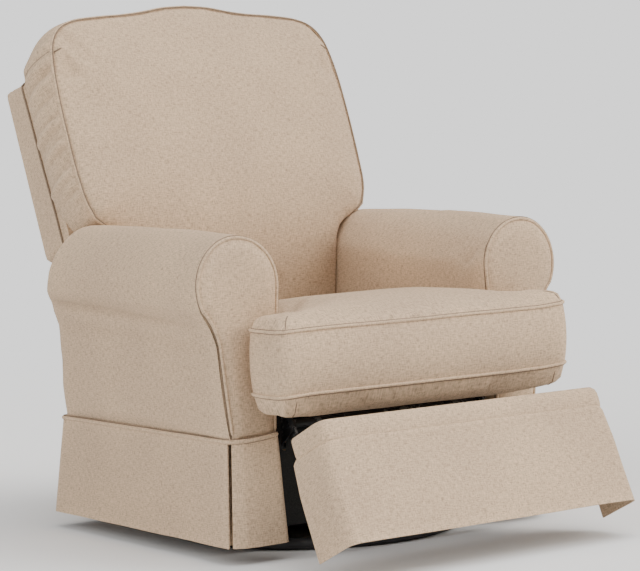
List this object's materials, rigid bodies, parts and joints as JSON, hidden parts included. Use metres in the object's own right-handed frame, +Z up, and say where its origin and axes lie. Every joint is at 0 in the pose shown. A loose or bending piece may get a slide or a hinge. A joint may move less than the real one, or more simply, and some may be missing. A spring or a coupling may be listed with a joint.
{
  "type": "glider nursery chair",
  "caption": "Upholstered swivel glider recliner with rolled arms, T-shaped seat cushion, boxed back cushion, skirted body and skirted footrest on a floor ring.",
  "frame": {"origin": "middle of the chair's footprint box, on the floor", "axes": "+X to the seated person's left, +Y towards the back, +Z up; the front faces -Y"},
  "size_m": [0.87, 1.1824, 1.0914],
  "materials": {
    "upholstery": "oatmeal linen-like heathered weave",
    "foam": "open-cell foam",
    "hardwood": "unfinished sawn frame wood and plywood",
    "black_steel": "semi-gloss black powder coat",
    "plain_steel": "zinc-plated"
  },
  "bodies": {
    "base": {"base_ring": "black_steel", "base_cross_bars": "black_steel", "swivel_race_lower": "black_steel"},
    "swivel_carrier": {"swivel_race_upper": "black_steel", "swivel_plate": "black_steel", "swivel_bolt": "plain_steel", "glide_tower_left": "black_steel", "glide_tower_right": "black_steel", "glide_axle_front": "plain_steel", "glide_axle_rear": "plain_steel"},
    "glide_front_links": {"glide_link_front_left": "black_steel", "glide_link_front_right": "black_steel"},
    "glide_rear_links": {"glide_link_rear_left": "black_steel", "glide_link_rear_right": "black_steel"},
    "seat_body": {"carriage_rail_left": "black_steel", "carriage_rail_right": "black_steel", "mechanism_plate_left": "black_steel", "mechanism_plate_right": "black_steel", "seat_rail_front": "hardwood", "seat_rail_rear": "hardwood", "seat_rail_left": "hardwood", "seat_rail_right": "hardwood", "seat_spring_left": "plain_steel", "seat_spring_middle": "plain_steel", "seat_spring_right": "plain_steel", "arm_frame_left": "hardwood", "arm_frame_right": "hardwood", "arm_pad_left": "upholstery", "arm_pad_right": "upholstery", "arm_panel_left": "upholstery", "arm_panel_right": "upholstery", "skirt_left": "upholstery", "skirt_right": "upholstery", "skirt_rear": "upholstery", "rear_panel": "upholstery", "seat_cushion": "upholstery", "back_pivot_rod": "plain_steel"},
    "back": {"back_post_left": "hardwood", "back_post_right": "hardwood", "back_rail_top": "hardwood", "back_rail_bottom": "hardwood", "back_bracket_left": "black_steel", "back_bracket_right": "black_steel", "back_cushion": "upholstery", "outside_back": "upholstery"},
    "footrest_lower_links": {"footrest_torque_tube": "black_steel", "footrest_knee_rod": "black_steel", "footrest_lower_link_left": "black_steel", "footrest_lower_link_right": "black_steel"},
    "footrest_upper_links": {"footrest_upper_link_left": "black_steel", "footrest_upper_link_right": "black_steel"},
    "footrest": {"footrest_board": "hardwood", "footrest_pad": "foam", "footrest_skirt": "upholstery", "footrest_bracket_left": "black_steel", "footrest_bracket_right": "black_steel", "footrest_board_rod": "black_steel"},
    "release_lever": {"release_lever": "black_steel"}
  },
  "joints": [
    {"name": "swivel", "type": "hinge", "parent": "base", "child": "swivel_carrier", "pos_m": [0, 0.00557, 0.027], "axis": [0, 0, 1], "continuous": true},
    {"name": "glide", "type": "hinge", "parent": "swivel_carrier", "child": "glide_front_links", "pos_m": [0, -0.08443, 0.185], "axis": [1, 0, 0], "range_deg": [-25, 25]},
    {"name": "glide_rear", "type": "hinge", "parent": "swivel_carrier", "child": "glide_rear_links", "pos_m": [0, 0.09557, 0.185], "axis": [1, 0, 0], "range_deg": [-25.5, 25.5]},
    {"name": "glide_level", "type": "hinge", "parent": "glide_front_links", "child": "seat_body", "pos_m": [0, -0.08443, 0.065], "axis": [1, 0, 0], "range_deg": [-25.5, 25.5]},
    {"name": "back_recline", "type": "hinge", "parent": "seat_body", "child": "back", "pos_m": [0, 0.27057, 0.29], "axis": [-1, 0, 0], "range_deg": [-2, 28]},
    {"name": "footrest_extend", "type": "hinge", "parent": "seat_body", "child": "footrest_lower_links", "pos_m": [0, -0.24473, 0.2502], "axis": [-1, 0, 0], "range_deg": [-27, 68]},
    {"name": "footrest_knee", "type": "hinge", "parent": "footrest_lower_links", "child": "footrest_upper_links", "pos_m": [0, -0.32833, 0.0854], "axis": [-1, 0, 0], "range_deg": [-111.88, 45.03]},
    {"name": "footrest_tilt", "type": "hinge", "parent": "footrest_upper_links", "child": "footrest", "pos_m": [0, -0.43873, 0.19965], "axis": [-1, 0, 0], "range_deg": [-37.47, 92.85]},
    {"name": "release_lever", "type": "hinge", "parent": "seat_body", "child": "release_lever", "pos_m": [-0.2541, -0.09443, 0.258], "axis": [-1, 0, 0], "range_deg": [0, 20], "stiffness_Nm_per_rad": 1.5}
  ],
  "couplings": [
    {"joint": "glide_rear", "follows": "glide", "ratio": 1},
    {"joint": "glide_level", "follows": "glide", "ratio": -1},
    {"joint": "footrest_knee", "follows": "footrest_extend", "ratio": -1.6306},
    {"joint": "footrest_tilt", "follows": "footrest_extend", "ratio": 1.3507}
  ]
}
